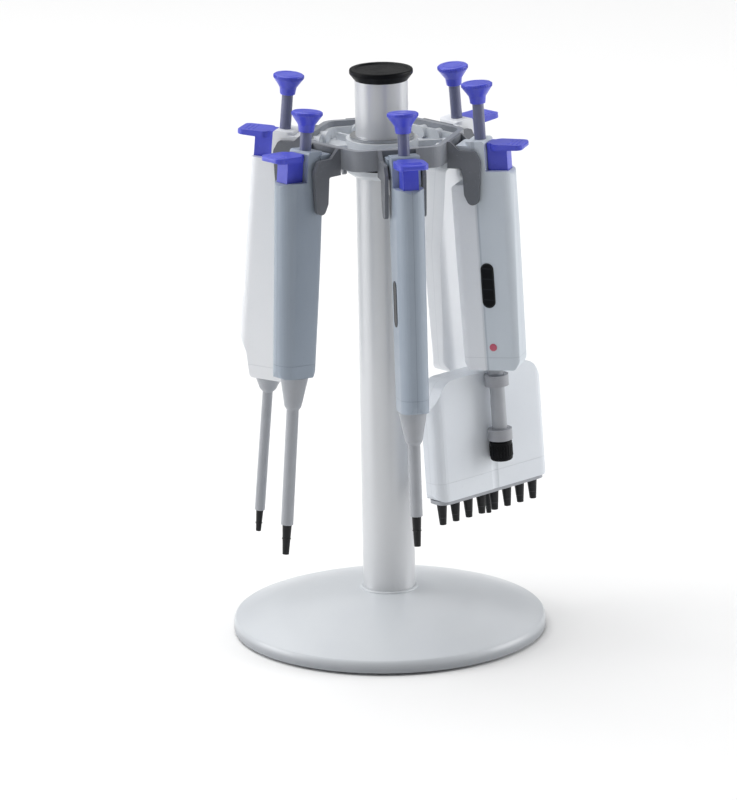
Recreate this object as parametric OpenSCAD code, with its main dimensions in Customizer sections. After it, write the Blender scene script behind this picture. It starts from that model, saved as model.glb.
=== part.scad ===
// Carousel stand for hand pipettes.
// A weighted round base carries a column. A six-sided crown turns on the column, and a hanger on
// each of its flats holds a pipette by the hook on the inner side of its handle.
// Place 1 faces -Y, and the places are numbered anticlockwise seen from above. Place 4 is empty.

/* [Base] */
// Outer diameter of the base
base_d = 168; // [140:1:215]
// Height of the base's upper edge above the table
base_edge_h = 9; // [8:0.5:12]
// Height of the dome where it meets the column
base_h = 23; // [18:0.5:30]
// Radius of the base's upper edge
base_edge_r = 4; // [2:0.5:5]
// Thickness of the base cover
base_wall = 3; // [2:0.25:4]
// Thickness of the rubber pad under the base
pad_h = 1.5; // [1:0.25:3]
// Thickness of the steel weight
weight_h = 6; // [4:0.5:8]

/* [Column] */
// Outer diameter of the column
column_d = 28; // [22:0.5:36]
// Wall of the column tube
column_wall = 2; // [1.5:0.25:3]
// Height of the column's upper end above the crown
neck_h = 29; // [22:1:60]
// Diameter of the bolt that holds the column down
bolt_d = 8; // [6:0.5:10]
// How far the cap's rim stands out from the column
cap_over = 2.75; // [1.5:0.25:8]
// Height of the cap above the column's end
cap_h = 6; // [4:0.5:8]

/* [Crown] */
// Distance from the axis to each flat of the crown
crown_flat = 39; // [36:0.5:48]
// Height of the longest pipette's tip above the table
tip_clear = 48; // [34:1:90]
// Height of the crown's wall
crown_h = 11; // [9:0.5:18]
// Thickness of the band round the crown
band_wall = 3; // [2.5:0.25:4]
// Radius of the crown's six corners
crown_corner_r = 8; // [3:0.5:12]
// Radial clearance between the bush and the column
bush_gap = 0.05; // [0.02:0.01:0.09]

/* [Hangers] */
// Thickness of a hanger's plates
hanger_wall = 1.6; // [1.2:0.1:2]
// Space between a hanger's two cheeks
cheek_gap = 18; // [17:0.5:22]
// Height of a hanger's lip above the bottom of its pocket
lip_h = 6.5; // [5:0.5:9]
// How far a hanger's cheeks reach below the pocket
cheek_drop = 20; // [12:1:26]
// How far a hook reaches down behind the lip
hook_depth = 6; // [4:0.5:8]
// Thickness of a hook
hook_t = 3.6; // [3.2:0.1:5]
// Clearance of a hook on each side in its pocket
hook_gap = 0.6; // [0.5:0.1:1]
// Lift that takes a hook clear of the lip
lift = 7.5; // [5:0.5:10]

/* [Pipettes] */
// Lean of the single-channel pipettes away from the column, in degrees
tilt = 5.2; // [3.5:0.1:7]
// Lean of the eight-channel pipette, in degrees
multi_tilt = 3.3; // [3:0.1:6]
// Thickness of a slim handle
slim_t = 15; // [11:0.5:16]
// Thickness of a deep handle
deep_t = 16; // [13:0.5:17]
// Drop from the hook to each handle's lower end, at places 1, 3, 5 and 6
handle_drop = [128, 137, 131, 114]; // [95:1:160]
// Drop from the hook to each tip cone's end, at places 1, 3, 5 and 6
tip_drop = [200, 219, 219, 210]; // [185:1:265]
// Rise from the hook to each button's top, at places 1, 3, 5 and 6
button_rise = [28.5, 35, 35.5, 26.5]; // [24:0.5:45]
// Diameter of a push button's top
button_d = 16; // [13:0.5:18]
// Height of a push button
button_h = 11; // [9:0.5:14]
// Diameter of a push button's rod
plunger_d = 6; // [5:0.25:6.5]
// Width of an ejector pad
pad_w = 16; // [13:0.5:20]
// Thickness of an ejector pad
pad_t = 3.6; // [3:0.2:5]
// Travel of the tip ejectors
eject_travel = 6; // [4:0.5:7]

/* [Eight-channel head] */
// Pitch of the tip cones
pitch = 9; // [8:0.5:9]
// Number of tip cones
channels = 8; // [4:1:8]
// Width of the head
head_w = 76; // [72:1:84]
// Depth of the head
head_d = 16; // [14:0.5:19]
// Height of the head
head_h = 65; // [52:1:70]
// Drop from the hook to the top of the head
head_drop = 120; // [118:1:124]
// Turn of the head from the handle's own direction, in degrees
head_turn = -33; // [-60:1:60]
// Length of the tip cones below the head
nozzle_len = 14; // [12:0.5:16]

/* [Hidden] */
$fn = 64;

places = 6;
white = [0.93, 0.94, 0.95];
pale_grey = [0.80, 0.82, 0.85];
mid_grey = [0.55, 0.59, 0.65];
dark_grey = [0.25, 0.26, 0.29];
black = [0.05, 0.05, 0.06];
blue = [0.28, 0.30, 0.80];
steel = [0.62, 0.63, 0.65];

fit_gap = 0.08;                 // radial clearance of a rod that slides in its bore
slide_gap = 0.25;               // clearance of a moulded part that slides in a slot

// Base
column_r = column_d / 2;
column_in_r = column_r - column_wall;
cap_r = column_r + cap_over;
weight_top = pad_h + weight_h;
weight_inset = 8;               // from the base's inner wall to the weight
weight_r = base_d / 2 - base_wall - weight_inset;
socket_floor = 2.5;             // cover under the column's end
column_z = weight_top + socket_floor;
bolt_head_h = min(4, weight_h - 1.5);
bolt_gap = 0.2;
plug_h = 22;
edge_z = base_edge_h - base_edge_r;
edge_least_r = 0.5;             // inner radius left where the wall is as thick as the edge
dome_r = base_d / 2 - base_edge_r;
dome_lift = 0.4;                // blends the dome into its rounded edge
dome_rise = base_h - base_edge_h;
dome_ball = (dome_r * dome_r - column_r * column_r) / (2 * dome_rise) + dome_rise / 2;

// Crown, its height following from the longest pipette
seat_z = tip_clear + max(tip_drop) * cos(tilt);
crown_top = seat_z + 6;
crown_z = crown_top - crown_h;
column_top = crown_top + neck_h;
crown_floor = 2.5;
rim_wall = 2;                   // crown's own low wall inside the band
rib_t = 2;
boss_len = 4;
bush_wall = 2;
bush_flange = 1.5;
bush_out_r = column_r + bush_gap + bush_wall;
hub_r = bush_out_r + 3;
hub_drop = 5;                   // hub and bush below the crown's wall
bush_z = crown_z - hub_drop;
bush_top = crown_top - 2;
washer_h = 1;
ring_h = 5;

// Hangers, in a place's own frame: x away from the axis, z up
plate_x = crown_flat;
pocket_x = plate_x + hanger_wall;
lip_x = pocket_x + hook_t + 2 * hook_gap;
lip_out_x = lip_x + hanger_wall;
pocket_z = seat_z - lip_h;
hanger_z = pocket_z - hanger_wall;
cheek_in = cheek_gap / 2;
cheek_out = cheek_in + hanger_wall + 0.4;
hanger_screw_y = cheek_in - 3;
hanger_screw_z = crown_top - 5.5;
screw_r = 1.5;
screw_head_r = 2.7;
screw_len = hanger_wall + band_wall + boss_len - 1;

// Pipettes, in a pipette's own frame: z along its axis, zero where its hook sits
handle_gap = 0.5;               // between the lip and the handle
neck_in = -6.7;                 // inner face of a handle beside the hanger
axis_x = lip_out_x + handle_gap - neck_in;
hook_w = cheek_gap - 2;
hook_bridge = 3.5;
handle_top = 6;
shoulder_z = -10;
shoulder_x = plunger_d / 2 + 1.2;
neck_out = 17.5;                // outer face of a handle at its shoulder
neck_low = hanger_z - seat_z - lift - 1.5;   // where a deep handle may widen
slim_top = shoulder_z - 5;
slim_in = neck_in - 3.8;        // inner face of a slim handle near its lower end
slim_out = 12.5;                // outer face of a slim handle near its lower end
slim_round = slim_t / 2 - 0.1;
deep_neck_in = -18;             // inner face of a deep handle below its neck
deep_round = 6;
stem_w = 8;
stem_x = [shoulder_x + 0.4, neck_out - 2.3];
stem_sunk = 3;
blade_z = 1.2;
blade_out = 24.8;
blade_wide_x = 7;
rod_r = 1.3;
rod_x = stem_x[0] + rod_r;
plunger_depth = 20;

window_size = [6, 23];
window_x = 1.4;
window_z = -71;
window_depth = 1.2;
window_proud = 0.2;
slim_sleeve_r = 3.25;
deep_sleeve_r = 2.75;
shaft_wall_gap = 0.1;
sleeve_wall = 0.65;
nose_r = 7.5;
shaft_hold = 12;                // shaft inside the handle

multi_shaft_r = 4;
multi_shaft_drop = 162;
knob_r = 6;
knob_h = 11;
knob_gap = 0.6;                 // between the knob and its groove in the head
head_set = head_d / 2 + multi_shaft_r + 2.2;   // centre of the head behind the shaft
clamp_gap = 0.05;
clamp_wall = 2.4;
clamp_h = 6;
nozzle_r = 3;
comb_h = 2;
comb_rod_r = 1.2;
multi_drop = 117;
multi_place = 2;
multi_rise = 36;
cover_x = -2;                   // where the rear cover meets the handle
clamp_low = multi_shaft_drop - 5 - head_drop - 0.3;   // lower clamp, just above the lock knob

singles = [1, 3, 5, 6];
function single_at(place) = search(place, singles)[0];
function is_deep(place) = place == 3 || place == 5;
function deep_in(place) = place == 3 ? -27.5 : -24;   // inner face of a deep handle, low down
function travel(rise) = rise - button_h - handle_top - 2;
function unit(v) = v / norm(v);
function wrap(a) = a > 180 ? a - 360 : a < -180 ? a + 360 : a;

// One corner of an outline turned into an arc: a and c are its neighbours, b holds its radius
function corner(a, b, c, steps) =
    let (p = [b.x, b.y], u = unit([a.x, a.y] - p), v = unit([c.x, c.y] - p), half = acos(u * v) / 2)
    let (mid = p + unit(u + v) * b.z / sin(half), from = p + u * b.z / tan(half) - mid)
    let (to = p + v * b.z / tan(half) - mid, start = atan2(from.y, from.x))
    let (turn = wrap(atan2(to.y, to.x) - start))
    [for (i = [0:steps]) mid + b.z * [cos(start + turn * i / steps), sin(start + turn * i / steps)]];

// Outline from [x, y, radius] points, a radius of 0 being a sharp corner
function rounded(points, steps = 6) = let (n = len(points))
    [for (i = [0:n - 1]) each points[i].z > 0
        ? corner(points[(i + n - 1) % n], points[i], points[(i + 1) % n], steps)
        : [[points[i].x, points[i].y]]];

module outline(points, steps = 6) polygon(rounded(points, steps));

// Rectangle from low to high with rounded corners
module panel(low, high, r, steps = 6)
    outline([[low.x, low.y, r], [high.x, low.y, r], [high.x, high.y, r], [low.x, high.y, r]], steps);

// Side view in x and z given a thickness along y
module slab(t) rotate([90, 0, 0]) linear_extrude(t, center = true) children();

module place_frame(place) rotate([0, 0, 360 / places * (place - 1) - 90]) children();

module pipette_frame(place, lean)
    place_frame(place) translate([axis_x, 0, seat_z]) rotate([0, -lean, 0]) children();

// Ring between two radii
module ring(outer, inner, h) difference() {
    cylinder(r = outer, h = h);
    translate([0, 0, -1]) cylinder(r = inner, h = h + 2);
}

/* ---- Base ---- */

// Half section of the dome, moved in by a wall
module dome_section(wall) intersection() {
    union() {
        translate([0, pad_h]) square([base_d / 2 - wall, edge_z - pad_h]);
        translate([0, pad_h]) square([dome_r, base_h]);
        translate([dome_r, edge_z]) circle(r = base_edge_r - min(wall, base_edge_r - edge_least_r));
    }
    translate([0, base_h - dome_ball]) circle(r = dome_ball + dome_lift - wall, $fn = 128);
    square([base_d, base_h + 2]);
}

module base_cover() color(white) difference() {
    rotate_extrude($fn = 128) dome_section(0);
    difference() {
        translate([0, 0, -0.01]) rotate_extrude($fn = 128) dome_section(base_wall);
        cylinder(r = column_r + 6, h = base_h);
    }
    translate([0, 0, -1]) cylinder(r = weight_r + slide_gap, h = weight_top + 1, $fn = 128);
    translate([0, 0, column_z]) cylinder(r = column_r, h = base_h + 10);
    cylinder(r = bolt_d / 2 + bolt_gap, h = base_h);
}

module base_weight() color(steel) difference() {
    translate([0, 0, pad_h]) cylinder(r = weight_r, h = weight_h, $fn = 128);
    cylinder(r = bolt_d / 2 + bolt_gap, h = base_h);
    cylinder(r = bolt_d + bolt_gap, h = pad_h + bolt_head_h);
}

module base_pad() color(dark_grey) cylinder(r = base_d / 2 - 6, h = pad_h, $fn = 128);

module column_bolt() color(steel) {
    translate([0, 0, pad_h + 0.2]) difference() {
        cylinder(r = bolt_d * 0.8, h = bolt_head_h - 0.2);
        translate([0, 0, -1]) cylinder(r = bolt_d * 0.35, h = bolt_head_h * 0.6 + 1, $fn = 6);
    }
    translate([0, 0, pad_h + bolt_head_h])
        cylinder(r = bolt_d / 2, h = column_z + plug_h - 6 - pad_h - bolt_head_h);
}

/* ---- Column ---- */

module column() color(white) translate([0, 0, column_z])
    ring(column_r, column_in_r, column_top - column_z);

module foot_plug() color(steel) translate([0, 0, column_z]) ring(column_in_r, bolt_d / 2, plug_h);

module support_ring() color(white) translate([0, 0, bush_z - washer_h - ring_h])
    rotate_extrude() outline([
        [column_r, 0, 0], [column_r + 1.5, 0, 0.5], [hub_r, 2.5, 1],
        [hub_r, ring_h, 0], [column_r, ring_h, 0]
    ]);

module thrust_washer() color(black) translate([0, 0, bush_z - washer_h])
    ring(hub_r - 0.5, column_r, washer_h);

module retaining_ring() color(steel) translate([0, 0, bush_top + 0.3]) difference() {
    ring(column_r + 3, column_r, 1.2);
    translate([column_r - 1, -1.5, -1]) cube([10, 3, 4]);
}

module top_cap() color(black) translate([0, 0, column_top]) rotate_extrude() outline([
    [0, -10, 0], [column_in_r, -10, 1], [column_in_r, 0, 0], [column_r, 0, 0],
    [cap_r, cap_h * 0.6, 0.8], [cap_r, cap_h, 1], [cap_r - 2.5, cap_h, 0.5], [cap_r - 3.5, cap_h - 0.8, 0.5],
    [0, cap_h - 0.8, 0]
]);

/* ---- Crown ---- */

module hexagon(flat, r) outline([for (i = [0:places - 1])
    let (a = 360 / places * (i + 0.5) - 90, far = flat / cos(180 / places))
    [far * cos(a), far * sin(a), r]]);

// Light dish with its hub, ribs and screw bosses
module rotor_crown() color(white) difference() {
    union() {
        translate([0, 0, crown_z]) linear_extrude(crown_floor) band_inside(0);
        translate([0, 0, crown_z]) linear_extrude(crown_h - 3) difference() {
            band_inside(0);
            band_inside(rim_wall);
        }
        translate([0, 0, bush_z + bush_flange]) cylinder(r = hub_r, h = bush_top - bush_z - bush_flange);
        for (place = [1:places]) place_frame(place) {
            for (side = [-1, 1])
                translate([crown_flat - band_wall - boss_len, side * hanger_screw_y, hanger_screw_z])
                    rotate([0, 90, 0]) cylinder(r = screw_r + 2, h = boss_len);
            rotate([0, 0, 180 / places]) translate([hub_r - 1, -rib_t / 2, crown_z + 1])
                cube([crown_flat - band_wall - hub_r, rib_t, 5]);
        }
    }
    translate([0, 0, bush_z]) cylinder(r = bush_out_r, h = crown_h + hub_drop);
    for (place = [1:places]) hanger_screw_at(place);
}

module band_inside(wall) hexagon(crown_flat - band_wall - wall, crown_corner_r - (band_wall + wall) / 2);

// Dark band round the crown, which the hangers are screwed to
module crown_band() color(dark_grey) difference() {
    translate([0, 0, crown_z]) linear_extrude(crown_h) hexagon(crown_flat, crown_corner_r);
    translate([0, 0, crown_z - 1]) linear_extrude(crown_h + 2) band_inside(0);
    for (place = [1:places]) hanger_screw_at(place);
}

module hanger_screw_at(place) place_frame(place) for (side = [-1, 1])
    translate([pocket_x, side * hanger_screw_y, hanger_screw_z]) rotate([0, -90, 0]) hanger_screw();

module hanger_screw() {
    cylinder(r1 = screw_head_r, r2 = screw_r, h = screw_head_r - screw_r);
    cylinder(r = screw_r, h = screw_len);
}

module rotor_bush() color(pale_grey) translate([0, 0, bush_z]) difference() {
    union() {
        cylinder(r = bush_out_r, h = bush_top - bush_z);
        cylinder(r = hub_r - 0.5, h = bush_flange);
    }
    translate([0, 0, -1]) cylinder(r = column_r + bush_gap, h = bush_top - bush_z + 2);
}

/* ---- Hangers ---- */

module cheek() outline([
    [plate_x, hanger_z, 0], [lip_out_x, hanger_z, 1], [lip_out_x + 1, hanger_z - cheek_drop + 6, 3],
    [lip_out_x + 4, hanger_z - cheek_drop, 3], [lip_out_x + 9, hanger_z - cheek_drop + 2, 3],
    [lip_out_x + 10, seat_z - 4, 4], [lip_out_x + 7, seat_z + 1.5, 2], [lip_x, seat_z + 1.5, 2],
    [pocket_x, crown_top, 1], [plate_x, crown_top, 0]
]);

module hanger(place) color(dark_grey) place_frame(place) difference() {
    union() {
        translate([plate_x, -cheek_out, hanger_z]) cube([hanger_wall, 2 * cheek_out, crown_top - hanger_z]);
        translate([plate_x, -cheek_out, hanger_z])
            cube([lip_out_x - plate_x, 2 * cheek_out, pocket_z - hanger_z]);
        translate([lip_x, -cheek_out, hanger_z]) cube([hanger_wall, 2 * cheek_out, seat_z - hanger_z]);
        for (side = [-1, 1]) translate([0, side * (cheek_in + cheek_out) / 2, 0])
            slab(cheek_out - cheek_in) cheek();
    }
    rotate([0, 0, 90 - 360 / places * (place - 1)]) hanger_screw_at(place);
}

module hanger_screws() color(steel) for (place = [1:places]) hanger_screw_at(place);

/* ---- Handles ---- */

// Hook on the inner side of a handle, upright like the hanger's lip
module hook(place) place_frame(place) slab(hook_w) outline([
    [lip_x - hook_gap - hook_t, seat_z - hook_depth, 1.2], [lip_x - hook_gap, seat_z - hook_depth, 1.2],
    [lip_x - hook_gap, seat_z, 0.4], [axis_x - 4, seat_z, 0], [axis_x - 4, seat_z + hook_bridge, 0],
    [lip_x - hook_gap - hook_t, seat_z + hook_bridge, 2.5]
]);

// What a handle leaves free: the plunger's bore, the ejector's slot and its rod's bore
module handle_bores(depth) {
    translate([0, 0, -depth]) cylinder(r = plunger_d / 2 + fit_gap, h = depth + handle_top + 1);
    translate([stem_x[0] - slide_gap, -stem_w / 2 - slide_gap, shoulder_z - stem_sunk - eject_travel - 1])
        cube([stem_x[1] - stem_x[0] + 2 * slide_gap, stem_w + 2 * slide_gap, 40]);
}

// Cross-section of a handle from its inner face to its outer one, each with its own corners
module grip_section(t, from, to, in_r, out_r)
    outline([[from, -t / 2, in_r], [to, -t / 2, out_r], [to, t / 2, out_r], [from, t / 2, in_r]], 8);

// Part of a handle beside the hanger, from its shoulders down to low
module handle_neck(t, low, out_r) intersection() {
    slab(t) outline([
        [neck_in, low, 0], [neck_out, low, 0], [neck_out, shoulder_z, 3], [shoulder_x, shoulder_z, 0],
        [shoulder_x, handle_top, 1.5], [neck_in, handle_top, 1.5]
    ]);
    translate([0, 0, low - 1]) linear_extrude(handle_top - low + 2)
        grip_section(t, neck_in, neck_out, 3.5, out_r);
}

// Slim handle below its neck, its outer side half round all the way down
module slim_body(drop) intersection() {
    slab(slim_t) outline([
        [neck_in, slim_top, 0], [slim_in, -drop + 6, 4], [neck_in, -drop, 1.5],
        [slim_out - 1, -drop, 1.5], [slim_out, -drop + 4, 3], [neck_out, slim_top, 0]
    ]);
    translate([0, 0, -drop - 1]) linear_extrude(drop)
        grip_section(slim_t, slim_in, neck_out + 5, 5, 0);
    translate([neck_out, 0, slim_top])
        rotate([0, atan((neck_out - slim_out) / (drop + slim_top - 4)), 0])
            translate([0, 0, -drop]) linear_extrude(drop + 2)
                grip_section(slim_t, 3 * slim_in, 0, 0, slim_round);
}

module deep_body(drop, in) intersection() {
    slab(deep_t) outline([
        [deep_neck_in, neck_low, 3], [in + 2, -60, 30], [in, -drop + 9, 9], [-10, -drop, 3],
        [8, -drop, 2], [11, -drop + 14, 4], [16.8, -drop + 24, 4], [16.5, -drop + 40, 4],
        [14.5, -drop + 46, 6], [neck_out, neck_low, 0]
    ]);
    translate([0, 0, -drop - 1]) linear_extrude(drop)
        grip_section(deep_t, in, neck_out, 6, deep_round);
}

// Display window set into a handle's flank
module window(t, proud) translate([window_x, window_depth - t / 2, window_z]) rotate([90, 0, 0])
    linear_extrude(window_depth + proud)
        panel(-window_size / 2, window_size / 2, window_size.x / 2 - 0.1);

module single_window(place) color(black) pipette_frame(place, tilt)
    window(is_deep(place) ? deep_t : slim_t, window_proud);

module single_handle(place) {
    i = single_at(place);
    t = is_deep(place) ? deep_t : slim_t;
    color(is_deep(place) ? white : mid_grey) difference() {
        union() {
            hook(place);
            pipette_frame(place, tilt) {
                handle_neck(t, (is_deep(place) ? neck_low : slim_top) - 1,
                    is_deep(place) ? deep_round : slim_round);
                if (is_deep(place)) deep_body(handle_drop[i], deep_in(place));
                else slim_body(handle_drop[i]);
            }
        }
        pipette_frame(place, tilt) {
            handle_bores(plunger_depth + travel(button_rise[i]) + 2);
            window(t, 0);
            translate([rod_x, 0, -handle_drop[i] - 1]) cylinder(r = rod_r + fit_gap, h = handle_drop[i]);
            translate([0, 0, -handle_drop[i] - 1]) cylinder(r = shaft_r(place), h = shaft_hold + 1);
        }
    }
}

/* ---- Shafts and ejectors of the single-channel pipettes ---- */

function sleeve_r(place) = is_deep(place) ? deep_sleeve_r : slim_sleeve_r;
function shaft_r(place) = sleeve_r(place) - sleeve_wall - shaft_wall_gap;
function nose_h(place) = is_deep(place) ? 9 : 18;
function tip_show(place) = is_deep(place) ? 12 : 16;

module single_shaft(place) {
    i = single_at(place);
    color(black) pipette_frame(place, tilt) difference() {
        union() {
            translate([0, 0, -tip_drop[i] + tip_show(place)]) cylinder(
                r = shaft_r(place), h = tip_drop[i] - tip_show(place) - handle_drop[i] + shaft_hold);
            translate([0, 0, -tip_drop[i]])
                cylinder(r1 = shaft_r(place) * 0.7, r2 = shaft_r(place), h = tip_show(place));
        }
        translate([0, 0, -tip_drop[i] - 1]) cylinder(r = 0.8, h = tip_show(place));
    }
}

// Sleeve round the shaft, with the rod that joins it to the thumb pad
module ejector_sleeve(place) {
    i = single_at(place);
    low = -tip_drop[i] + tip_show(place);
    nose_z = -handle_drop[i] - nose_h(place);
    color(mid_grey) pipette_frame(place, tilt) {
        rotate_extrude() outline([
            [sleeve_r(place) - sleeve_wall, low, 0], [sleeve_r(place), low, 0.3],
            [sleeve_r(place), nose_z, 1], [nose_r - 3, nose_z + 2, 2], [nose_r, -handle_drop[i], 0.5],
            [sleeve_r(place) - sleeve_wall, -handle_drop[i], 0]
        ]);
        translate([rod_x, 0, -handle_drop[i] - 1])
            cylinder(r = rod_r, h = handle_drop[i] + shoulder_z - stem_sunk + 1);
    }
}

// Thumb pad and its stem, which slides in the handle's slot
module ejector_pad(place, lean) color(blue) pipette_frame(place, lean) {
    translate([stem_x[0], -stem_w / 2, shoulder_z - stem_sunk])
        cube([stem_x[1] - stem_x[0], stem_w, blade_z - shoulder_z + stem_sunk + 1]);
    intersection() {
        translate([0, 0, blade_z]) linear_extrude(pad_t) outline([
            [stem_x[0], -stem_w / 2 - 1, 1], [blade_wide_x, -stem_w / 2 - 1, 1],
            [blade_wide_x + 2, -pad_w / 2, 3], [blade_out, -pad_w / 2, 4],
            [blade_out, pad_w / 2, 4], [blade_wide_x + 2, pad_w / 2, 3],
            [blade_wide_x, stem_w / 2 + 1, 1], [stem_x[0], stem_w / 2 + 1, 1]
        ]);
        slab(pad_w) outline([
            [stem_x[0], blade_z, 0], [blade_out, blade_z, 1], [blade_out, blade_z + pad_t - 1, 1],
            [blade_wide_x + 4, blade_z + pad_t - 0.4, 8], [stem_x[0], blade_z + pad_t, 0.5]
        ]);
    }
}

/* ---- Push buttons ---- */

module button(place, lean, rise) color(blue) pipette_frame(place, lean) translate([0, 0, rise - button_h])
    rotate_extrude() outline([
        [0, 0, 0], [plunger_d / 2 + 1, 0, 0.5], [plunger_d / 2 + 1.5, button_h * 0.35, 3],
        [button_d / 2, button_h * 0.8, 1], [button_d / 2, button_h, 1], [0, button_h, 0]
    ]);

module plunger(place, lean, rise) color(dark_grey) pipette_frame(place, lean)
    translate([0, 0, -plunger_depth]) cylinder(r = plunger_d / 2, h = plunger_depth + rise - button_h);

/* ---- Eight-channel pipette ---- */

module multi_frame() pipette_frame(multi_place, multi_tilt) children();

module head_frame() multi_frame() rotate([0, 0, head_turn]) translate([-head_set, 0, -head_drop]) children();

// Lower part of the eight-channel handle, from one x to another
module multi_body(from, to) intersection() {
    slab(deep_t) outline([
        [-16.5, neck_low, 4], [-14.5, -multi_drop + 4, 4], [-12, -multi_drop, 2],
        [13, -multi_drop, 2], [15.5, -multi_drop + 4, 4], [neck_out, neck_low, 0]
    ]);
    translate([0, 0, -multi_drop - 1]) linear_extrude(multi_drop)
        grip_section(deep_t, -16.5, neck_out, 5, deep_round);
    translate([from, -deep_t, -multi_drop - 1]) cube([to - from, 2 * deep_t, multi_drop]);
}

module multi_hollows() {
    handle_bores(plunger_depth + travel(multi_rise) + 2);
    translate([0, 0, -multi_drop - 1]) cylinder(r = multi_shaft_r, h = shaft_hold + 1);
    window(deep_t, 0);
}

module multi_handle() color(mid_grey) difference() {
    union() {
        hook(multi_place);
        multi_frame() {
            handle_neck(deep_t, neck_low - 1, deep_round);
            multi_body(cover_x, 30);
        }
    }
    multi_frame() multi_hollows();
}

module multi_rear_cover() color(pale_grey) multi_frame() difference() {
    multi_body(-30, cover_x);
    translate([neck_in, -deep_t, neck_low - 1]) cube([30, 2 * deep_t, 20]);
    multi_hollows();
}

module multi_window() color(black) multi_frame() window(deep_t, window_proud);

module multi_shaft() color(dark_grey) multi_frame() translate([0, 0, -multi_shaft_drop])
    cylinder(r = multi_shaft_r, h = multi_shaft_drop - multi_drop + shaft_hold);

module multi_lock_knob() color(black) multi_frame() translate([0, 0, -multi_shaft_drop - knob_h + 5])
    difference() {
        rotate_extrude() outline([[0, 0, 0], [knob_r, 0, 1.5], [knob_r, knob_h, 1], [0, knob_h, 0]]);
        translate([0, 0, knob_h - 5]) cylinder(r = multi_shaft_r, h = 10);
    }

module clamp(low) translate([head_set, 0, -low]) {
    cylinder(r = multi_shaft_r + clamp_gap + clamp_wall, h = clamp_h);
    translate([-head_set + head_d / 2 - 1, -3, 0]) cube([head_set - head_d / 2, 6, clamp_h]);
}

module head_outline() outline([
    [-head_w / 2, -head_h, 4], [head_w / 2, -head_h, 4], [head_w / 2, -14, 10], [head_w / 2 - 8, 0, 10],
    [-head_w / 2 + 8, 0, 10], [-head_w / 2, -14, 10]
]);

module multi_head() color(pale_grey) head_frame() difference() {
    union() {
        intersection() {
            rotate([0, 0, 90]) slab(head_d) head_outline();
            translate([0, 0, -head_h - 1]) linear_extrude(head_h + 2)
                panel([-head_d / 2, -head_w / 2], [head_d / 2, head_w / 2], 6);
        }
        clamp(clamp_h + 1);
        clamp(clamp_low);
    }
    translate([head_set, 0, -head_h]) cylinder(r = multi_shaft_r + clamp_gap, h = head_h + 1);
    translate([head_set, 0, -head_h - 1]) cylinder(r = knob_r + knob_gap, h = head_h + 1 - clamp_low);
    for (i = [0:channels - 1]) nozzle_at(i) cylinder(r = nozzle_r, h = 5);
    for (side = [-1, 1]) comb_rod_at(side) cylinder(r = comb_rod_r + fit_gap, h = 16);
}

module nozzle_at(i) translate([0, (i - (channels - 1) / 2) * pitch, -head_h]) children();

module comb_rod_at(side) translate([head_d / 2 - 3, side * pitch / 2 * (channels - 2), -head_h]) children();

module multi_nozzles() color(black) head_frame() for (i = [0:channels - 1]) nozzle_at(i) difference() {
    union() {
        cylinder(r = nozzle_r, h = 5);
        translate([0, 0, -nozzle_len]) cylinder(r1 = nozzle_r * 0.6, r2 = nozzle_r, h = nozzle_len);
    }
    translate([0, 0, -nozzle_len - 1]) cylinder(r = 0.7, h = nozzle_len);
}

module multi_ejector_comb() color(pale_grey) head_frame() {
    translate([0, 0, -head_h - comb_h]) difference() {
        linear_extrude(comb_h)
            panel([-head_d / 2 + 1, -head_w / 2 + 2], [head_d / 2 - 1, head_w / 2 - 2], 5);
        for (i = [0:channels - 1]) translate([0, (i - (channels - 1) / 2) * pitch, -1])
            cylinder(r = nozzle_r + 0.4, h = comb_h + 2);
    }
    for (side = [-1, 1]) comb_rod_at(side) cylinder(r = comb_rod_r, h = 8);
}

/* ---- Nodes ---- */

base_cover();
base_weight();
base_pad();
column_bolt();
column();
foot_plug();
support_ring();
thrust_washer();
retaining_ring();
top_cap();
rotor_crown();
crown_band();
rotor_bush();
hanger_screws();
for (place = [1:places]) hanger(place);
for (place = singles) {
    name = str("pipette_", place, "_");
    rise = button_rise[single_at(place)];
    single_handle(place);
    single_window(place);
    single_shaft(place);
    ejector_sleeve(place);
    ejector_pad(place, tilt);
    button(place, tilt, rise);
    plunger(place, tilt, rise);
}
multi_handle();
multi_rear_cover();
multi_window();
multi_shaft();
multi_lock_knob();
multi_head();
multi_nozzles();
multi_ejector_comb();
ejector_pad(multi_place, multi_tilt);  // multi_ejector_pad
button(multi_place, multi_tilt, multi_rise);  // multi_button
plunger(multi_place, multi_tilt, multi_rise);  // multi_plunger
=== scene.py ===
# Pipette carousel stand: finishes, small fittings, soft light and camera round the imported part
import math
import bmesh
import bpy
from mathutils import Matrix, Vector


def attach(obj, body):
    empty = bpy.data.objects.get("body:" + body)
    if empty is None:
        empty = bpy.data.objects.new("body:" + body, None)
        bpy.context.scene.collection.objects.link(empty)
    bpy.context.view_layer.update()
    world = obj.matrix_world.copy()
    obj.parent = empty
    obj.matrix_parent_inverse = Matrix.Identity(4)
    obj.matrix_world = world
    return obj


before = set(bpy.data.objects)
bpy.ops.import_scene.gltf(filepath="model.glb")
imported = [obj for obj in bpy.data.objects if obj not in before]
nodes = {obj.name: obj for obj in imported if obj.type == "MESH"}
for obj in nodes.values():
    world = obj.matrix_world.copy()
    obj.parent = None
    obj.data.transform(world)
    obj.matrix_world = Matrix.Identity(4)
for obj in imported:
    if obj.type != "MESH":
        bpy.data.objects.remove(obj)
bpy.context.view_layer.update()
mm = 0.001
print("part loaded:", len(nodes), "nodes")


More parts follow.
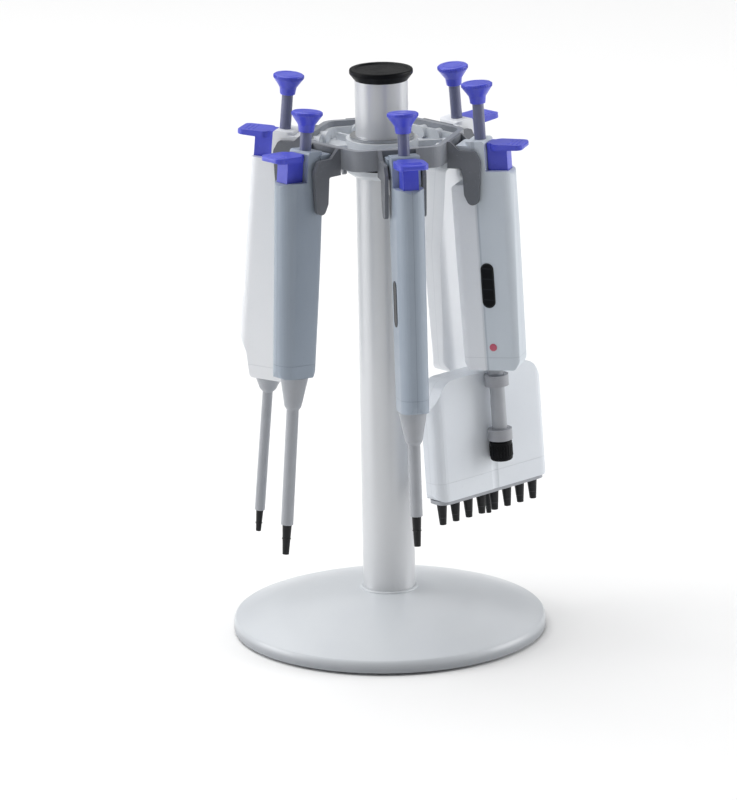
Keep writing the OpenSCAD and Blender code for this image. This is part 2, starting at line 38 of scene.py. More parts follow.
stand = {
    "places": 6,
    "multiPlace": 2,           # the eight-channel pipette
    "axisOut": 54.2 * mm,      # pipette axis from the column's axis, at hook height
    "seat": 266.1 * mm,        # where the hooks rest
    "lean": {1: 5.2, 2: 3.3, 3: 5.2, 5: 5.2, 6: 5.2},             # degrees
    "headTurn": -33,                                              # degrees
    "headSpot": (-14.2 * mm, 0, -120 * mm),                       # from its pipette's seat
    "singles": {1: "slim", 3: "deep", 5: "deep", 6: "slim"},
    "handleDrop": {1: 128, 2: 117, 3: 137, 5: 131, 6: 114},       # mm below the seat
    "tipDrop": {1: 200, 3: 219, 5: 219, 6: 210},                  # mm below the seat
    "buttonRise": {1: 28.5, 2: 36, 3: 35, 5: 35.5, 6: 26.5},      # mm above the seat
    "thickness": {1: 15, 2: 16, 3: 16, 5: 16, 6: 15},             # mm, of the handle
}
everyPlace = range(1, stand["places"] + 1)


def placeFrame(place):
    # x away from the column, z up
    turn = 360 / stand["places"] * (place - 1) - 90
    return Matrix.Rotation(math.radians(turn), 4, "Z")


def pipetteFrame(place):
    # z along the pipette's own axis, zero where its hook sits
    lean = Matrix.Rotation(-math.radians(stand["lean"][place]), 4, "Y")
    return placeFrame(place) @ Matrix.Translation((stand["axisOut"], 0, stand["seat"])) @ lean


def headFrame():
    turn = Matrix.Rotation(math.radians(stand["headTurn"]), 4, "Z")
    return pipetteFrame(stand["multiPlace"]) @ turn @ Matrix.Translation(stand["headSpot"])


def bodyName(place, part=""):
    return ("multi" if place == stand["multiPlace"] else f"pipette_{place}") + part


def tone(red, green, blue):
    # screen colour, 0 to 255, as linear light
    def linear(value):
        share = value / 255
        return share / 12.92 if share <= 0.04045 else ((share + 0.055) / 1.055) ** 2.4
    return (linear(red), linear(green), linear(blue), 1)


class Wire:
    # a socket that can be used in sums
    def __init__(self, finish, socket):
        self.finish, self.socket = finish, socket

    def sum(self, operation, *values):
        return self.finish.node("ShaderNodeMath", {"operation": operation}, dict(enumerate(values)))

    def __add__(self, other):
        return self.sum("ADD", self, other)

    def __radd__(self, other):
        return self.sum("ADD", other, self)

    def __sub__(self, other):
        return self.sum("SUBTRACT", self, other)

    def __rsub__(self, other):
        return self.sum("SUBTRACT", other, self)

    def __mul__(self, other):
        return self.sum("MULTIPLY", self, other)

    def __rmul__(self, other):
        return self.sum("MULTIPLY", other, self)

    def __truediv__(self, other):
        return self.sum("DIVIDE", self, other)

    def __rtruediv__(self, other):
        return self.sum("DIVIDE", other, self)

    def __pow__(self, other):
        return self.sum("POWER", self, other)

    def __rpow__(self, other):
        return self.sum("POWER", other, self)

    def __mod__(self, other):
        return self.sum("FLOORED_MODULO", self, other)

    def __rmod__(self, other):
        return self.sum("FLOORED_MODULO", other, self)

    def __abs__(self):
        return self.sum("ABSOLUTE", self)

    def smooth(self, low, high):
        # 0 below low, 1 above high
        return self.finish.node("ShaderNodeMapRange", {"interpolation_type": "SMOOTHSTEP"},
                                {"Value": self, "From Min": low, "From Max": high})


class Finish:
    # a material, while its nodes are being made
    def __init__(self, name):
        self.material = bpy.data.materials.new(name)
        self.material.use_nodes = True
        self.tree = self.material.node_tree
        self.tree.nodes.clear()
        self.where = self.node("ShaderNodeTexCoord", output="Object")

    def node(self, kind, settings=None, inputs=None, output=0):
        made = self.tree.nodes.new(kind)
        for key, value in (settings or {}).items():
            setattr(made, key, value)
        for key, value in (inputs or {}).items():
            if isinstance(value, Wire):
                self.tree.links.new(value.socket, made.inputs[key])
            else:
                made.inputs[key].default_value = value
        return Wire(self, made.outputs[output]) if made.outputs else made

    def noise(self, size, detail, roughness=0.55, where=None, stretch=None):
        # size of its lumps in metres, its value about 0.5
        where = where or self.where
        if stretch:
            where = self.node("ShaderNodeMapping", {}, {"Vector": where, "Scale": stretch})
        return self.node("ShaderNodeTexNoise", {}, {"Vector": where, "Scale": 1 / size, "Detail": detail,
                                                    "Roughness": roughness})

    def mix(self, factor, first, second):
        # 6, 7 and 2 are the colour sockets of a Mix node
        return self.node("ShaderNodeMix", {"data_type": "RGBA"}, {0: factor, 6: first, 7: second}, 2)

    def split(self, vector):
        # its x, y and z
        return [self.node("ShaderNodeSeparateXYZ", {}, {"Vector": vector}, axis) for axis in range(3)]

    def local(self, frameMatrix):
        # x, y and z in a frame of the part
        spot, turn, _ = frameMatrix.decompose()
        moved = self.node("ShaderNodeMapping", {"vector_type": "TEXTURE"},
                          {"Vector": self.where, "Location": spot, "Rotation": turn.to_euler("XYZ")})
        return self.split(moved)

    def bump(self, height, depth, strength, before=None):
        inputs = {"Height": height, "Distance": depth, "Strength": strength}
        if before:
            inputs["Normal"] = before
        return self.node("ShaderNodeBump", {}, inputs)

    def close(self, look, inputs):
        # what is the same all over the surface goes straight on the shader's sockets
        for name in ("Metallic", "Coat Weight", "Coat Roughness", "Specular IOR Level"):
            if name in look:
                inputs[name] = look[name]
        shader = self.node("ShaderNodeBsdfPrincipled", {}, inputs)
        self.node("ShaderNodeOutputMaterial", {}, {"Surface": shader})
        return self.material


# scales are shares of a look's cloudSize and grainSize, edges are where a noise starts and where it is full
worn = {
    "cloudEdge": (0.3, 0.7), "speckEdge": (0.62, 0.75), "smudgeEdge": (0.42, 0.72),
    "speckScale": 3, "smudgeScale": 0.6, "flowScale": 0.3, "flowStretch": (1, 1, 0.25),
    "flowDepth": 0.004, "flowStrength": 0.25, "grainStrength": 0.6, "grainRough": 0.06,
}


def wear(finish, look):
    # soft clouds, fine specks, smudges and grain that every moulded or coated surface shares
    look = {**worn, **look}
    cloudSize, grainSize = look["cloudSize"], look["grainSize"]
    clouds = finish.noise(cloudSize, 4).smooth(*look["cloudEdge"])
    specks = finish.noise(grainSize * look["speckScale"], 2).smooth(*look["speckEdge"])
    smudges = finish.noise(cloudSize * look["smudgeScale"], 6, 0.62).smooth(*look["smudgeEdge"])
    grain = finish.noise(grainSize, 2)
    flow = finish.noise(cloudSize * look["flowScale"], 3, 0.5, stretch=look["flowStretch"])
    colour = finish.mix(clouds * look["cloudDepth"], look["colour"], look["shade"])
    colour = finish.mix(specks * look["speckDepth"], colour, look["speck"])
    rough = look["rough"] + (smudges - 0.5) * look["smudge"] + (grain - 0.5) * look["grainRough"]
    height = finish.bump(grain, look["grainDepth"], look["grainStrength"])
    height = finish.bump(flow, cloudSize * look["flowDepth"], look["flowStrength"], height)
    return colour, rough, height


def seam(finish, look, colour, height, distance):
    # a fine line where distance is near zero
    line = 1 - abs(distance).smooth(look["seamWidth"] * look["seamCore"], look["seamWidth"])
    dark = finish.mix(line * look["seamDark"], colour, look["speck"])
    return dark, finish.bump(1 - line, look["seamDepth"], look["seamStrength"], height)


def moulded(name, look):
    finish = Finish(name)
    colour, rough, height = wear(finish, look)
    return finish.close(look, {"Base Color": colour, "Roughness": rough, "Normal": height})


lathe = {
    "stainEdge": (0.35, 0.75), "stainDepth": 0.5, "stainRough": 0.08, "cutRough": 0.25,
    "cutStrength": 0.7, "alongAxis": 0.3, "Metallic": 1.0,
}


def turned(name, look):
    # steel cut on a lathe: rings round the column's axis and a brushed grain
    look = {**lathe, **look}
    finish = Finish(name)
    x, y, z = finish.split(finish.where)
    radius = (x * x + y * y) ** 0.5
    along = z * look["alongAxis"]
    rings = finish.node("ShaderNodeCombineXYZ", {}, {"X": radius, "Y": along, "Z": along})
    cut = finish.noise(look["ringSize"], 4, 0.6, where=rings)
    stain = finish.noise(look["cloudSize"], 5).smooth(*look["stainEdge"])
    colour = finish.mix(stain * look["stainDepth"], look["colour"], look["shade"])
    rough = look["rough"] + (cut - 0.5) * look["cutRough"] + stain * look["stainRough"]
    height = finish.bump(cut, look["ringDepth"], look["cutStrength"])
    return finish.close(look, {"Base Color": colour, "Roughness": rough, "Normal": height})


whiteShell = {
    "colour": tone(208, 212, 216), "shade": tone(201, 205, 211), "speck": tone(186, 191, 197),
    "cloudSize": 40 * mm, "cloudDepth": 0.4, "speckDepth": 0.12, "grainSize": 0.35 * mm,
    "grainDepth": 0.02 * mm, "rough": 0.34, "smudge": 0.08, "Coat Weight": 0.15, "Coat Roughness": 0.25,
}
shellWhite = moulded("shellWhite", whiteShell)

columnCoat = {
    "colour": tone(208, 210, 213), "shade": tone(202, 205, 208), "speck": tone(192, 195, 199),
    "cloudSize": 90 * mm, "cloudDepth": 0.3, "speckDepth": 0.08, "grainSize": 0.5 * mm,
    "grainDepth": 0.01 * mm, "grainStrength": 0.3, "rough": 0.36, "smudge": 0.05,
    "Metallic": 0.3, "Coat Weight": 0.2, "Coat Roughness": 0.25,
}
columnPaint = moulded("columnPaint", columnCoat)

rubberPad = {
    "colour": tone(52, 53, 56), "shade": tone(66, 67, 70), "speck": tone(90, 91, 94),
    "cloudSize": 20 * mm, "cloudDepth": 0.5, "speckDepth": 0.3, "grainSize": 0.5 * mm,
    "grainDepth": 0.08 * mm, "rough": 0.82, "smudge": 0.1,
}
padRubber = moulded("padRubber", rubberPad)

blackGloss = {
    "colour": tone(5, 6, 9), "shade": tone(9, 10, 14), "speck": tone(26, 28, 33),
    "cloudSize": 12 * mm, "cloudDepth": 0.5, "speckDepth": 0.15, "grainSize": 0.3 * mm,
    "grainDepth": 0.015 * mm, "rough": 0.46, "smudge": 0.12, "Specular IOR Level": 0.12,
}
blackPart = moulded("blackPart", blackGloss)

bushPolymer = {
    "colour": tone(228, 229, 228), "shade": tone(216, 217, 216), "speck": tone(190, 190, 188),
    "cloudSize": 10 * mm, "cloudDepth": 0.5, "speckDepth": 0.3, "grainSize": 0.25 * mm,
    "grainDepth": 0.03 * mm, "rough": 0.45, "smudge": 0.1,
}
bushWhite = moulded("bushWhite", bushPolymer)

hangerPlastic = {
    "colour": tone(106, 109, 115), "shade": tone(94, 98, 104), "speck": tone(138, 142, 148),
    "cloudSize": 15 * mm, "cloudDepth": 0.5, "speckDepth": 0.3, "grainSize": 0.4 * mm,
    "grainDepth": 0.05 * mm, "rough": 0.5, "smudge": 0.12,
}
hangerGrey = moulded("hangerGrey", hangerPlastic)

bandPlastic = {
    "colour": tone(138, 142, 149), "shade": tone(125, 129, 137), "speck": tone(160, 164, 170),
    "cloudSize": 18 * mm, "cloudDepth": 0.5, "speckDepth": 0.25, "grainSize": 0.4 * mm,
    "grainDepth": 0.05 * mm, "rough": 0.46, "smudge": 0.12,
}
bandGrey = moulded("bandGrey", bandPlastic)

sleevePlastic = {
    "colour": tone(161, 164, 170), "shade": tone(149, 153, 159), "speck": tone(128, 132, 138),
    "cloudSize": 14 * mm, "cloudDepth": 0.5, "speckDepth": 0.25, "grainSize": 0.3 * mm,
    "grainDepth": 0.02 * mm, "rough": 0.38, "smudge": 0.12, "Coat Weight": 0.1,
}
sleeveGrey = moulded("sleeveGrey", sleevePlastic)

tipBlack = {
    "colour": tone(15, 16, 19), "shade": tone(22, 24, 28), "speck": tone(46, 48, 53),
    "cloudSize": 8 * mm, "cloudDepth": 0.5, "speckDepth": 0.25, "grainSize": 0.3 * mm,
    "grainDepth": 0.03 * mm, "rough": 0.44, "smudge": 0.12, "Specular IOR Level": 0.3,
}
tipPlastic = moulded("tipPlastic", tipBlack)

padBlue = {
    "colour": tone(72, 80, 205), "shade": tone(58, 66, 190), "speck": tone(120, 126, 225),
    "cloudSize": 10 * mm, "cloudDepth": 0.5, "speckDepth": 0.2, "grainSize": 0.3 * mm,
    "grainDepth": 0.025 * mm, "rough": 0.36, "smudge": 0.12, "Coat Weight": 0.15, "Coat Roughness": 0.3,
}
blueCap = moulded("blueCap", padBlue)

plungerGrey = {
    "colour": tone(108, 112, 140), "shade": tone(94, 98, 128), "speck": tone(140, 144, 168),
    "cloudSize": 8 * mm, "cloudDepth": 0.5, "speckDepth": 0.2, "grainSize": 0.25 * mm,
    "grainDepth": 0.02 * mm, "rough": 0.35, "smudge": 0.12,
}
plungerRod = moulded("plungerRod", plungerGrey)

boltSteel = {
    "colour": tone(188, 190, 193), "shade": tone(160, 163, 168), "cloudSize": 6 * mm,
    "ringSize": 0.4 * mm, "ringDepth": 0.02 * mm, "rough": 0.3,
}
steelBolt = turned("steelBolt", boltSteel)

weightSteel = {
    "colour": tone(170, 172, 176), "shade": tone(140, 143, 150), "cloudSize": 25 * mm,
    "ringSize": 0.8 * mm, "ringDepth": 0.05 * mm, "rough": 0.42,
}
steelWeight = turned("steelWeight", weightSteel)
print("shared finishes made")


# painted shade under the base's rim: between these heights the colour darkens towards the foot
baseRimShade = {"low": 2.5 * mm, "high": 9 * mm, "colour": tone(128, 132, 138), "depth": 0.75}


def baseFinishPaintedShade(name, look):
    # the white shell, with painted shade: a darker, duller tone round the foot of its rim, standing in for
    # the shade under the rim
    finish = Finish(name)
    colour, rough, height = wear(finish, look)
    _, _, up = finish.split(finish.where)
    # painted shade: darker towards the foot of the rim
    foot = (1 - up.smooth(baseRimShade["low"], baseRimShade["high"])) * baseRimShade["depth"]
    colour = finish.mix(foot, colour, baseRimShade["colour"])
    return finish.close(look, {"Base Color": colour, "Roughness": rough, "Normal": height})


handleLooks = {
    "grey": {"colour": tone(150, 161, 174), "shade": tone(141, 152, 166), "speck": tone(119, 129, 142)},
    "white": {"colour": tone(235, 237, 240), "shade": tone(228, 231, 235), "speck": tone(208, 212, 218)},
    "outer": {"colour": tone(200, 208, 216), "shade": tone(192, 200, 209), "speck": tone(170, 178, 188)},
    "cover": {"colour": tone(228, 231, 236), "shade": tone(221, 225, 231), "speck": tone(200, 205, 211)},
}
handleShared = {
    "cloudSize": 35 * mm, "cloudDepth": 0.4, "speckDepth": 0.15, "grainSize": 0.35 * mm,
    "grainDepth": 0.03 * mm, "rough": 0.42, "smudge": 0.1, "seamWidth": 0.22 * mm, "seamCore": 0.4,
    "seamDark": 0.5, "seamDepth": 0.12 * mm, "seamStrength": 0.8, "Coat Weight": 0.08,
    "Coat Roughness": 0.35, "lineUp": 7,   # mm above the handle's lower end
}
# the joint line of the rear cover and the handle, widened and darkened as painted shade for the groove
# between them
coverJointShade = {"x": -2 * mm, "width": 1.3 * mm, "dark": 0.8}   # where the rear cover meets the handle


def handleFinish(name, place, kind):
    # satin grip plastic with the parting line of its two halves, and a fine line above the lower end
    look = {**handleShared, **handleLooks[kind]}
    finish = Finish(name)
    colour, rough, height = wear(finish, look)
    x, y, z = finish.local(pipetteFrame(place))
    colour, height = seam(finish, look, colour, height, y)
    low = stand["handleDrop"][place] - look["lineUp"]
    colour, height = seam(finish, look, colour, height, z + low * mm)
    if place == stand["multiPlace"]:
        # painted shade: a wide dark line for the groove where the rear cover meets the handle
        grooveShade = {**look, "seamWidth": coverJointShade["width"], "seamDark": coverJointShade["dark"]}
        colour, height = seam(finish, grooveShade, colour, height, x - coverJointShade["x"])
    return finish.close(look, {"Base Color": colour, "Roughness": rough, "Normal": height})


headPlastic = {
    "colour": tone(222, 227, 233), "shade": tone(214, 219, 227), "speck": tone(198, 203, 211),
    "cloudSize": 30 * mm, "cloudDepth": 0.4, "speckDepth": 0.2, "grainSize": 0.35 * mm,
    "grainDepth": 0.03 * mm, "rough": 0.42, "smudge": 0.08, "Coat Roughness": 0.3,
    "panelLine": 55 * mm,      # below the head's top
    "claspOut": (8.1 * mm, 8.505 * mm), "claspColour": tone(150, 152, 158),   # rings that hold the shaft
}


def headFinish(name):
    # the head's two shells meet in a line at mid depth, with a panel line on its broad sides
    look = {**handleShared, **headPlastic}
    finish = Finish(name)
    colour, rough, height = wear(finish, look)
    x, _, z = finish.local(headFrame())
    colour, height = seam(finish, look, colour, height, x)
    colour, height = seam(finish, look, colour, height, z + look["panelLine"])
    colour = finish.mix(x.smooth(*look["claspOut"]), colour, look["claspColour"])
    return finish.close(look, {"Base Color": colour, "Roughness": rough, "Normal": height})


smokedLens = {
    "colour": tone(14, 15, 18), "edgeColour": tone(40, 42, 46), "edgeWidth": (0.02, 0.07),
    "edgeDepth": 0.7, "wheel": 5.6 * mm, "dustSize": 1.5 * mm, "dustEdge": (0.55, 0.8),
    "dustDepth": 0.01 * mm, "dustStrength": 0.4, "rough": 0.3, "dustRough": 0.2,
    "Specular IOR Level": 0.1,
}


def lensFinish(name, look):
    # smoked clear plastic over dark number wheels, whose edges show as faint lines
    finish = Finish(name)
    _, _, up = finish.split(finish.where)
    wheels = (up / look["wheel"]) % 1.0
    gap = 1 - abs(wheels - 0.5).smooth(*look["edgeWidth"])
    dust = finish.noise(look["dustSize"], 5, 0.65).smooth(*look["dustEdge"])
    colour = finish.mix(gap * look["edgeDepth"], look["colour"], look["edgeColour"])
    height = finish.bump(dust, look["dustDepth"], look["dustStrength"])
    rough = look["rough"] + dust * look["dustRough"]
    return finish.close(look, {"Base Color": colour, "Roughness": rough, "Normal": height})


def dress(material, *names):
    for name in names:
        slots = nodes[name].data.materials
        slots.clear()
        slots.append(material)


lens = lensFinish("lensBlack", smokedLens)
dress(baseFinishPaintedShade("baseWhitePaintedShade", whiteShell), "base_cover")
dress(shellWhite, "rotor_crown", "support_ring")
dress(columnPaint, "column")
dress(steelWeight, "base_weight", "foot_plug")
dress(steelBolt, "column_bolt", "hanger_screws", "retaining_ring")
dress(padRubber, "base_pad")
dress(blackPart, "top_cap", "thrust_washer", "multi_lock_knob")
dress(bushWhite, "rotor_bush")
dress(bandGrey, "crown_band")
dress(hangerGrey, *[f"hanger_{place}" for place in everyPlace])
for place, kind in stand["singles"].items():
    shell = handleFinish(f"handle{place}", place, "grey" if kind == "slim" else "white")
    dress(shell, f"pipette_{place}_handle")
    dress(lens, f"pipette_{place}_window")
    dress(tipPlastic, f"pipette_{place}_shaft")
    dress(sleeveGrey, f"pipette_{place}_ejector_sleeve")
    dress(blueCap, f"pipette_{place}_ejector_pad", f"pipette_{place}_button")
    dress(plungerRod, f"pipette_{place}_plunger")
dress(handleFinish("handle2", stand["multiPlace"], "outer"), "multi_handle")
dress(handleFinish("cover2", stand["multiPlace"], "cover"), "multi_rear_cover")
dress(headFinish("headShell"), "multi_head")
dress(lens, "multi_window")
dress(sleeveGrey, "multi_shaft", "multi_ejector_comb")
dress(tipPlastic, "multi_nozzles")
dress(blueCap, "multi_ejector_pad", "multi_button")
dress(plungerRod, "multi_plunger")
print("every node dressed")


fitting = {
    "sharp": 40,      # degrees past which an edge stays sharp
    "weld": 1e-7,     # metres within which points join
}


def toObject(name, shape, material):
    # the bmesh becomes an object at the origin
    mesh = bpy.data.meshes.new(name)
    shape.to_mesh(mesh)
    shape.free()
    mesh.materials.append(material)
    made = bpy.data.objects.new(name, mesh)
    bpy.context.scene.collection.objects.link(made)
    return made


def addPiece(name, shape, material, body, spot=None):
    # a fitting that rides on a body, with its place in its mesh
    if spot:
        bmesh.ops.transform(shape, matrix=spot, verts=shape.verts)
    bmesh.ops.remove_doubles(shape, verts=shape.verts, dist=fitting["weld"])
    bmesh.ops.recalc_face_normals(shape, faces=shape.faces)
    piece = toObject(name, shape, material)
    piece.data.shade_smooth()
    piece.data.set_sharp_from_angle(angle=math.radians(fitting["sharp"]))
    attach(piece, body)


def quarterTurn(shape, verts, axis="X"):
    bmesh.ops.rotate(shape, cent=(0, 0, 0), matrix=Matrix.Rotation(math.pi / 2, 3, axis), verts=verts)


def roundEdges(shape, edges, offset, segments=3):
    bmesh.ops.bevel(shape, geom=edges, offset=offset, affect="EDGES", segments=segments, profile=0.5,
                    material=-1)


def spunRing(radius, bead, centre, sides=14, steps=64, squash=1.0):
    # a ring round z at centre, bead being its section's radius
    shape = bmesh.new()
    section = bmesh.ops.create_circle(shape, segments=sides, radius=bead)["verts"]
    bmesh.ops.scale(shape, vec=(1, squash, 1), verts=section)
    quarterTurn(shape, section)
    bmesh.ops.translate(shape, vec=(radius, 0, 0), verts=section)
    bmesh.ops.spin(shape, geom=shape.verts[:] + shape.edges[:], cent=(0, 0, 0), axis=(0, 0, 1),
                   angle=2 * math.pi, steps=steps, use_merge=True)
    bmesh.ops.translate(shape, vec=centre, verts=shape.verts)
    return shape


def gathered(shapes):
    # several shapes in one bmesh
    whole = bmesh.new()
    for shape in shapes:
        part = bpy.data.meshes.new("part")
        shape.to_mesh(part)
        shape.free()
        whole.from_mesh(part)
        bpy.data.meshes.remove(part)
    return whole


def ribs(grip, z):
    # upright ribs round a grip at height z
    shape = bmesh.new()
    block = bmesh.ops.create_cube(shape, size=1)["verts"]
    bmesh.ops.scale(shape, vec=grip["ribSize"], verts=block)
    roundEdges(shape, shape.edges[:], grip["ribEdge"], 2)
    bmesh.ops.translate(shape, vec=(grip["radius"], 0, z), verts=shape.verts)
    more = grip["ribs"] - 1
    bmesh.ops.spin(shape, geom=shape.verts[:] + shape.edges[:] + shape.faces[:], cent=(0, 0, 0),
                   axis=(0, 0, 1), angle=2 * math.pi * more / grip["ribs"], steps=more,
                   use_duplicate=True)
    return shape


def lozenge(width, length, rim, proud):
    # a slot-shaped frame in x and z, open in the middle, standing proud along -y
    shape = bmesh.new()
    near = 1e-6
    bmesh.ops.create_circle(shape, segments=32, radius=width / 2, cap_ends=True)
    upper = [v for v in shape.verts if v.co.y > near]
    lower = [v for v in shape.verts if v.co.y < -near]
    bmesh.ops.translate(shape, vec=(0, (length - width) / 2, 0), verts=upper)
    bmesh.ops.translate(shape, vec=(0, (width - length) / 2, 0), verts=lower)
    bmesh.ops.inset_region(shape, faces=shape.faces[:], thickness=rim, use_boundary=True,
                           use_even_offset=True)
    middle = max(shape.faces, key=lambda face: len(face.verts))
    bmesh.ops.delete(shape, geom=[middle], context="FACES_ONLY")
    lifted = bmesh.ops.extrude_face_region(shape, geom=shape.faces[:])["geom"]
    raised = [made for made in lifted if isinstance(made, bmesh.types.BMVert)]
    bmesh.ops.translate(shape, vec=(0, 0, proud), verts=raised)
    quarterTurn(shape, shape.verts)
    return shape


# fine ribs round each button's rim and a shallow ring on its top
buttonGrip = {
    "ribs": 40, "ribSize": (0.5 * mm, 0.55 * mm, 1.4 * mm), "ribEdge": 0.12 * mm, "radius": 7.95 * mm,
    "belowTop": 1.3 * mm, "dishRadius": 5.2 * mm, "dishBead": 0.35 * mm, "dishSquash": 0.5,
}
for place, rise in stand["buttonRise"].items():
    top = rise * mm
    button, spot = bodyName(place, "_push_button"), pipetteFrame(place)
    grip = ribs(buttonGrip, top - buttonGrip["belowTop"])
    addPiece(f"buttonGrip{place}", grip, blueCap, button, spot)
    dish = spunRing(buttonGrip["dishRadius"], buttonGrip["dishBead"], (0, 0, top),
                    squash=buttonGrip["dishSquash"])
    addPiece(f"buttonDish{place}", dish, blueCap, button, spot)
print("push buttons ribbed")

# raised ridges across each thumb pad, which falls away outwards
padRidge = {
    "at": (16.5, 18.8, 21.1),      # mm out from the pipette's axis
    "top": 4.05, "slope": 0.043,   # mm above the seat, mm down per mm out
    "size": (0.8 * mm, 10.5 * mm, 0.7 * mm), "edge": 0.28 * mm,
}
for place in stand["buttonRise"]:
    ridges = bmesh.new()
    for out in padRidge["at"]:
        block = bmesh.ops.create_cube(ridges, size=1)["verts"]
        bmesh.ops.scale(ridges, vec=padRidge["size"], verts=block)
        drop = (out - padRidge["at"][0]) * padRidge["slope"]
        bmesh.ops.translate(ridges, vec=(out * mm, 0, (padRidge["top"] - drop) * mm), verts=block)
    roundEdges(ridges, ridges.edges[:], padRidge["edge"])
    ejector = bodyName(place, "_ejector")
    addPiece(f"padRidges{place}", ridges, blueCap, ejector, pipetteFrame(place))
print("thumb pads ridged")

# a proud frame round each volume window
windowRim = {
    "width": 7.2 * mm, "length": 24.2 * mm, "rim": 0.75 * mm, "proud": 0.35 * mm, "x": 1.4 * mm,
    "z": -71 * mm, "sunk": 0.1,   # mm into the handle's face
}
for place in stand["buttonRise"]:
    rim = lozenge(windowRim["width"], windowRim["length"], windowRim["rim"], windowRim["proud"])
    face = (windowRim["sunk"] - stand["thickness"][place] / 2) * mm
    spot = pipetteFrame(place) @ Matrix.Translation((windowRim["x"], face, windowRim["z"]))
    addPiece(f"windowRim{place}", rim, tipPlastic, bodyName(place), spot)
print("window rims fitted")

# a bead round each tip cone, low enough that the sleeve stays clear of it when it ejects
tipBead = {
    "radius": {"slim": 2.5, "deep": 2.0},   # mm, of the cone at the sleeve's end
    "show": {"slim": 16, "deep": 12},       # mm of cone below the sleeve
    "below": 7.5,                           # mm from the sleeve's end to the bead
    "taper": 0.3,                           # what the radius loses over the cone
    "bead": 0.3 * mm,
}
for place, kind in stand["singles"].items():
    show = tipBead["show"][kind]
    narrowed = tipBead["radius"][kind] * (1 - tipBead["taper"] * tipBead["below"] / show)
    low = -stand["tipDrop"][place] + show - tipBead["below"]
    bead = spunRing(narrowed * mm, tipBead["bead"], (0, 0, low * mm), steps=40)
    addPiece(f"tipBead{place}", bead, tipPlastic, bodyName(place), pipetteFrame(place))
print("tips beaded")

# two sealing rings on each of the head's cones
coneRing = {
    "channels": 8, "pitch": 9 * mm, "bead": 0.36 * mm,
    "radii": (2.0 * mm, 1.82 * mm), "heights": (-72.6 * mm, -75.0 * mm),
}
for number in range(coneRing["channels"]):
    across = (number - (coneRing["channels"] - 1) / 2) * coneRing["pitch"]
    rings = gathered(spunRing(radius, coneRing["bead"], (0, across, height), sides=10, steps=28)
                     for radius, height in zip(coneRing["radii"], coneRing["heights"]))
    addPiece(f"coneRings{number + 1}", rings, padRubber, "multi_manifold", headFrame())
print("cones ringed")

# ribs round the knob that locks the head
knobGrip = {
    "ribs": 24, "ribSize": (0.7 * mm, 0.7 * mm, 6.6 * mm), "ribEdge": 0.2 * mm, "radius": 5.85 * mm,
    "z": -162.4 * mm,
}
grip = ribs(knobGrip, knobGrip["z"])
addPiece("knobGrip", grip, blackPart, "multi", pipetteFrame(stand["multiPlace"]))

# a small red dot below the handle's window
mark = {
    "spot": (2.0 * mm, -8 * mm, -104.5 * mm), "radius": 2.0 * mm, "proud": 0.3 * mm, "edge": 0.15 * mm,
    "colour": tone(192, 84, 106), "shade": tone(178, 70, 94), "speck": tone(214, 128, 144),
}
redSpot = moulded("redSpot", {**padBlue, **mark})
dot = bmesh.new()
bmesh.ops.create_cone(dot, segments=32, radius1=mark["radius"], radius2=mark["radius"],
                      depth=mark["proud"] * 2, cap_ends=True)
rims = [edge for edge in dot.edges if any(len(face.verts) > 4 for face in edge.link_faces)]
roundEdges(dot, rims, mark["edge"])
quarterTurn(dot, dot.verts)
spot = pipetteFrame(stand["multiPlace"]) @ Matrix.Translation(mark["spot"])
addPiece("handleDot", dot, redSpot, "multi", spot)
print("knob ribbed and handle marked")

# a soft bead where the column enters the base
footGasket = {"radius": 14.5 * mm, "bead": 1.1 * mm, "z": 23.0 * mm, "squash": 0.8}
gasket = spunRing(footGasket["radius"], footGasket["bead"], (0, 0, footGasket["z"]), steps=96,
                  squash=footGasket["squash"])
addPiece("footGasket", gasket, shellWhite, "stand")

# fine rings in the cap's dished top
capRing = {
    "radii": (7.812 * mm, 10.08 * mm, 12.222 * mm), "bead": 0.3 * mm, "z": 306.2 * mm, "squash": 0.5,
}
insert = gathered(spunRing(radius, capRing["bead"], (0, 0, capRing["z"]), sides=10, steps=72,
                           squash=capRing["squash"]) for radius in capRing["radii"])
addPiece("capRings", insert, blackPart, "stand")

# painted shade: dark hexagons on the heads of the hanger screws, standing in for the shade inside their hex
# sockets
socketShade = {"radius": 1.25 * mm, "deep": 0.5 * mm, "out": 40.4 * mm, "aside": 6 * mm, "z": 266.6 * mm}
for place in everyPlace:
    hexes = bmesh.new()
    for side in (-1, 1):
        made = bmesh.ops.create_cone(hexes, segments=6, radius1=socketShade["radius"],
                                     radius2=socketShade["radius"], depth=socketShade["deep"],
                                     cap_ends=True)["verts"]
        quarterTurn(hexes, made, "Y")
        aside = side * socketShade["aside"]
        bmesh.ops.translate(hexes, vec=(socketShade["out"], aside, socketShade["z"]), verts=made)
    # each pair of dark hexagons is painted shade, not a real recess
    addPiece(f"socketShades{place}", hexes, blackPart, "carousel", placeFrame(place))
print("column, cap and screws fitted")


floorLook = {
    "size": 14.0, "colour": (0.9, 0.9, 0.9, 1), "rough": 0.6, "patch": 0.4, "patchRough": 0.05,
    "Specular IOR Level": 0.1,
}
paper = Finish("floorPale")
patches = paper.noise(floorLook["patch"], 4) - 0.5
dull = floorLook["rough"] + patches * floorLook["patchRough"]
floorPale = paper.close(floorLook, {"Base Color": floorLook["colour"], "Roughness": dull})
ground = bmesh.new()
bmesh.ops.create_grid(ground, x_segments=2, y_segments=2, size=floorLook["size"] / 2)
floor = toObject("floor", ground, floorPale)

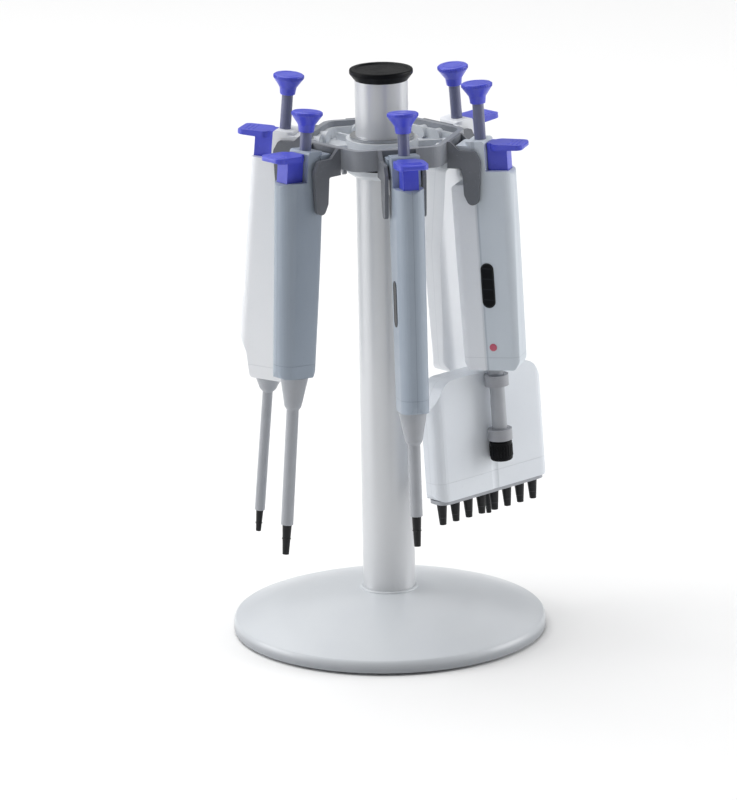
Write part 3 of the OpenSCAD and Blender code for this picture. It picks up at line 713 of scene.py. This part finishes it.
view = {
    "distance": 2.6, "height": 0.86, "azimuth": -12.0,   # where the camera stands, metres and degrees
    "heading": 11.79, "pitch": 15.749, "roll": -1.0,     # which way it looks, degrees
    "lens": 228.15, "sensor": 36, "near": 0.1, "far": 40,
}
studio = {
    "world": 0.25,
    "panels": {   # turn is degrees round from the camera, aim is how far out and how high it looks
        "skyPanel": {"turn": -98, "out": 0.75, "height": 2.5, "aim": (0, 0.1), "size": (2.6, 2.2),
                     "watts": 53},
        "leftPanel": {"turn": -92, "out": 2.2, "height": 0.75, "aim": (0, 0.24), "size": (1.5, 1.3),
                      "watts": 24},
        "rightPanel": {"turn": 96, "out": 2.2, "height": 0.75, "aim": (0, 0.22), "size": (1.5, 1.3),
                       "watts": 29},
        "farPanel": {"turn": 180, "out": 2.4, "height": 1.8, "aim": (2.4, 0), "size": (5.0, 2.4),
                     "watts": 30},
    },
}
world = bpy.data.worlds.new("studioWorld")
world.use_nodes = True
backdrop = world.node_tree.nodes["Background"].inputs
backdrop["Color"].default_value = (1, 1, 1, 1)
backdrop["Strength"].default_value = studio["world"]
bpy.context.scene.world = world


def aroundView(degrees, out, height):
    # a spot so many degrees round the column from the camera's side
    turn = math.radians(degrees + view["azimuth"])
    return Vector((math.sin(turn) * out, -math.cos(turn) * out, height))


for name, look in studio["panels"].items():
    panel = bpy.data.lights.new(name, "AREA")
    panel.shape = "RECTANGLE"
    panel.size, panel.size_y = look["size"]
    panel.energy = look["watts"]
    lamp = bpy.data.objects.new(name, panel)
    lamp.location = aroundView(look["turn"], look["out"], look["height"])
    toward = aroundView(look["turn"], *look["aim"]) - lamp.location
    lamp.rotation_euler = toward.to_track_quat("-Z", "Y").to_euler()
    bpy.context.scene.collection.objects.link(lamp)

camera = bpy.data.cameras.new("camera")
camera.lens = view["lens"]
camera.sensor_width = view["sensor"]
camera.sensor_fit = "AUTO"
camera.clip_start, camera.clip_end = view["near"], view["far"]
eye = bpy.data.objects.new("camera", camera)
heading, down, roll = [math.radians(view[name]) for name in ("heading", "pitch", "roll")]
level = math.cos(down)
ahead = Vector((math.sin(heading) * level, math.cos(heading) * level, -math.sin(down)))
right = Vector((math.cos(heading), -math.sin(heading), 0))
up = right.cross(ahead)
across = right * math.cos(roll) + up * math.sin(roll)
over = up * math.cos(roll) - right * math.sin(roll)
aimed = Matrix((across, over, -ahead)).transposed().to_4x4()
eye.matrix_world = Matrix.Translation(aroundView(0, view["distance"], view["height"])) @ aimed
bpy.context.scene.collection.objects.link(eye)
bpy.context.scene.camera = eye
bpy.context.scene.view_settings.view_transform = "Standard"
print("studio set")
